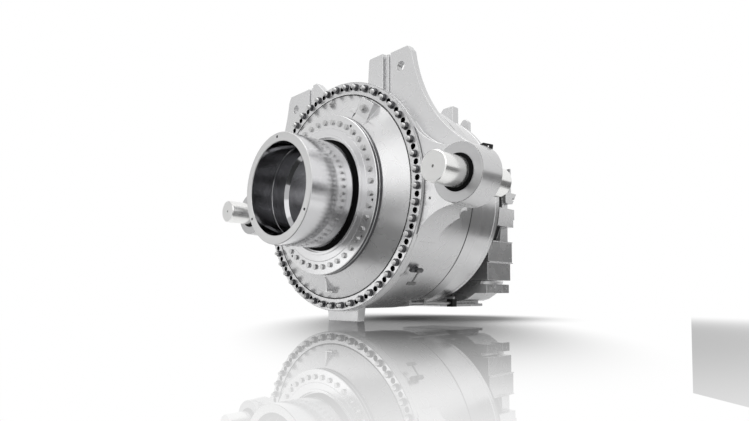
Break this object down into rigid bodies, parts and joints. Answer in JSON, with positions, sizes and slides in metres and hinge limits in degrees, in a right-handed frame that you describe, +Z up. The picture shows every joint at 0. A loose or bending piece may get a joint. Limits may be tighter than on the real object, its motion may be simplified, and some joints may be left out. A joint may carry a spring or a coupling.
{
  "type": "wind turbine gearbox",
  "caption": "Planetary gearbox of a wind turbine: hollow input hub, bolted cone cover, casing with torque arms and pins, stepped ring casings and a ribbed rear housing.",
  "frame": {"origin": "centre of the input hub's front face, on the main axis", "axes": "+Y along the main axis from the rotor side to the generator side, +Z up, +X to the right seen from the rotor side"},
  "size_m": [2.806, 2.323, 1.998],
  "materials": {
    "cast_paint": "satin",
    "drum_paint": "satin",
    "polished_steel": "polished",
    "satin_steel": "satin",
    "gear_steel": "ground",
    "bolt_steel": "dark",
    "bearing_steel": "ground",
    "black_rubber": "matt",
    "black_metal": "satin"
  },
  "bodies": {
    "housing": {"bearing_cover": "cast_paint", "breather": "black_metal", "cable_bracket": "black_metal", "cover_bolts": "bolt_steel", "cover_plug": "bolt_steel", "flange_studs": "bolt_steel", "front_bearing_outer": "bearing_steel", "front_cover": "cast_paint", "front_lug_left": "cast_paint", "front_lug_right": "cast_paint", "intermediate_housing": "cast_paint", "middle_bearing_outer": "bearing_steel", "oil_connector": "black_metal", "oil_pan": "cast_paint", "oil_pipe": "satin_steel", "output_bearing_outer": "bearing_steel", "output_seal": "black_rubber", "pad_sensor": "bolt_steel", "pin_seal_left": "black_rubber", "pin_seal_right": "black_rubber", "rear_cover": "cast_paint", "rear_cover_bolts": "bolt_steel", "rear_housing": "cast_paint", "rear_lug_left": "cast_paint", "rear_lug_right": "cast_paint", "ring_gear_first": "cast_paint", "ring_gear_second": "gear_steel", "sampling_valve": "satin_steel", "second_bearing_outer": "bearing_steel", "second_stage_housing": "drum_paint", "torque_arm_housing": "cast_paint", "torque_pin_left": "satin_steel", "torque_pin_right": "satin_steel"},
    "input_carrier": {"input_hub": "polished_steel", "hub_bulkhead": "satin_steel", "hub_seal_ring": "black_rubber", "first_carrier": "gear_steel", "first_planet_pins": "gear_steel", "first_planet_bearings": "bearing_steel", "front_bearing_inner": "bearing_steel", "middle_bearing_inner": "bearing_steel"},
    "first_planet_1": {"first_planet_1": "gear_steel"},
    "first_planet_2": {"first_planet_2": "gear_steel"},
    "first_planet_3": {"first_planet_3": "gear_steel"},
    "intermediate": {"first_sun_shaft": "gear_steel", "second_carrier": "gear_steel", "second_planet_pins": "gear_steel", "second_planet_bearings": "bearing_steel", "second_bearing_inner": "bearing_steel"},
    "second_planet_1": {"second_planet_1": "gear_steel"},
    "second_planet_2": {"second_planet_2": "gear_steel"},
    "second_planet_3": {"second_planet_3": "gear_steel"},
    "output": {"output_shaft": "satin_steel", "output_flange": "satin_steel", "output_bearing_inner": "bearing_steel"},
    "sampling_lever": {"sampling_lever": "bolt_steel"}
  },
  "joints": [
    {"name": "input_spin", "type": "hinge", "parent": "housing", "child": "input_carrier", "pos_m": [0, 0, 0], "axis": [0, 1, 0], "continuous": true},
    {"name": "first_planet_1_spin", "type": "hinge", "parent": "input_carrier", "child": "first_planet_1", "pos_m": [0, 1.349, 0.45], "axis": [0, 1, 0], "continuous": true},
    {"name": "first_planet_2_spin", "type": "hinge", "parent": "input_carrier", "child": "first_planet_2", "pos_m": [-0.38971, 1.349, -0.225], "axis": [0, 1, 0], "continuous": true},
    {"name": "first_planet_3_spin", "type": "hinge", "parent": "input_carrier", "child": "first_planet_3", "pos_m": [0.38971, 1.349, -0.225], "axis": [0, 1, 0], "continuous": true},
    {"name": "intermediate_spin", "type": "hinge", "parent": "housing", "child": "intermediate", "pos_m": [0, 1.7, 0], "axis": [0, 1, 0], "continuous": true},
    {"name": "second_planet_1_spin", "type": "hinge", "parent": "intermediate", "child": "second_planet_1", "pos_m": [0.31177, 1.833, 0.18], "axis": [0, 1, 0], "continuous": true},
    {"name": "second_planet_2_spin", "type": "hinge", "parent": "intermediate", "child": "second_planet_2", "pos_m": [-0.31177, 1.833, 0.18], "axis": [0, 1, 0], "continuous": true},
    {"name": "second_planet_3_spin", "type": "hinge", "parent": "intermediate", "child": "second_planet_3", "pos_m": [0, 1.833, -0.36], "axis": [0, 1, 0], "continuous": true},
    {"name": "output_spin", "type": "hinge", "parent": "housing", "child": "output", "pos_m": [0, 2.2, 0], "axis": [0, 1, 0], "continuous": true},
    {"name": "sampling_lever_turn", "type": "hinge", "parent": "housing", "child": "sampling_lever", "pos_m": [0.66037, 0.745, -0.57405], "axis": [0.7547, 0, -0.6561], "range_deg": [0, 90]}
  ],
  "couplings": [
    {"joint": "first_planet_1_spin", "follows": "input_spin", "ratio": -2.5},
    {"joint": "first_planet_2_spin", "follows": "input_spin", "ratio": -2.5},
    {"joint": "first_planet_3_spin", "follows": "input_spin", "ratio": -2.5},
    {"joint": "intermediate_spin", "follows": "input_spin", "ratio": 6},
    {"joint": "second_planet_1_spin", "follows": "input_spin", "ratio": -16},
    {"joint": "second_planet_2_spin", "follows": "input_spin", "ratio": -16},
    {"joint": "second_planet_3_spin", "follows": "input_spin", "ratio": -16},
    {"joint": "output_spin", "follows": "input_spin", "ratio": 30}
  ]
}
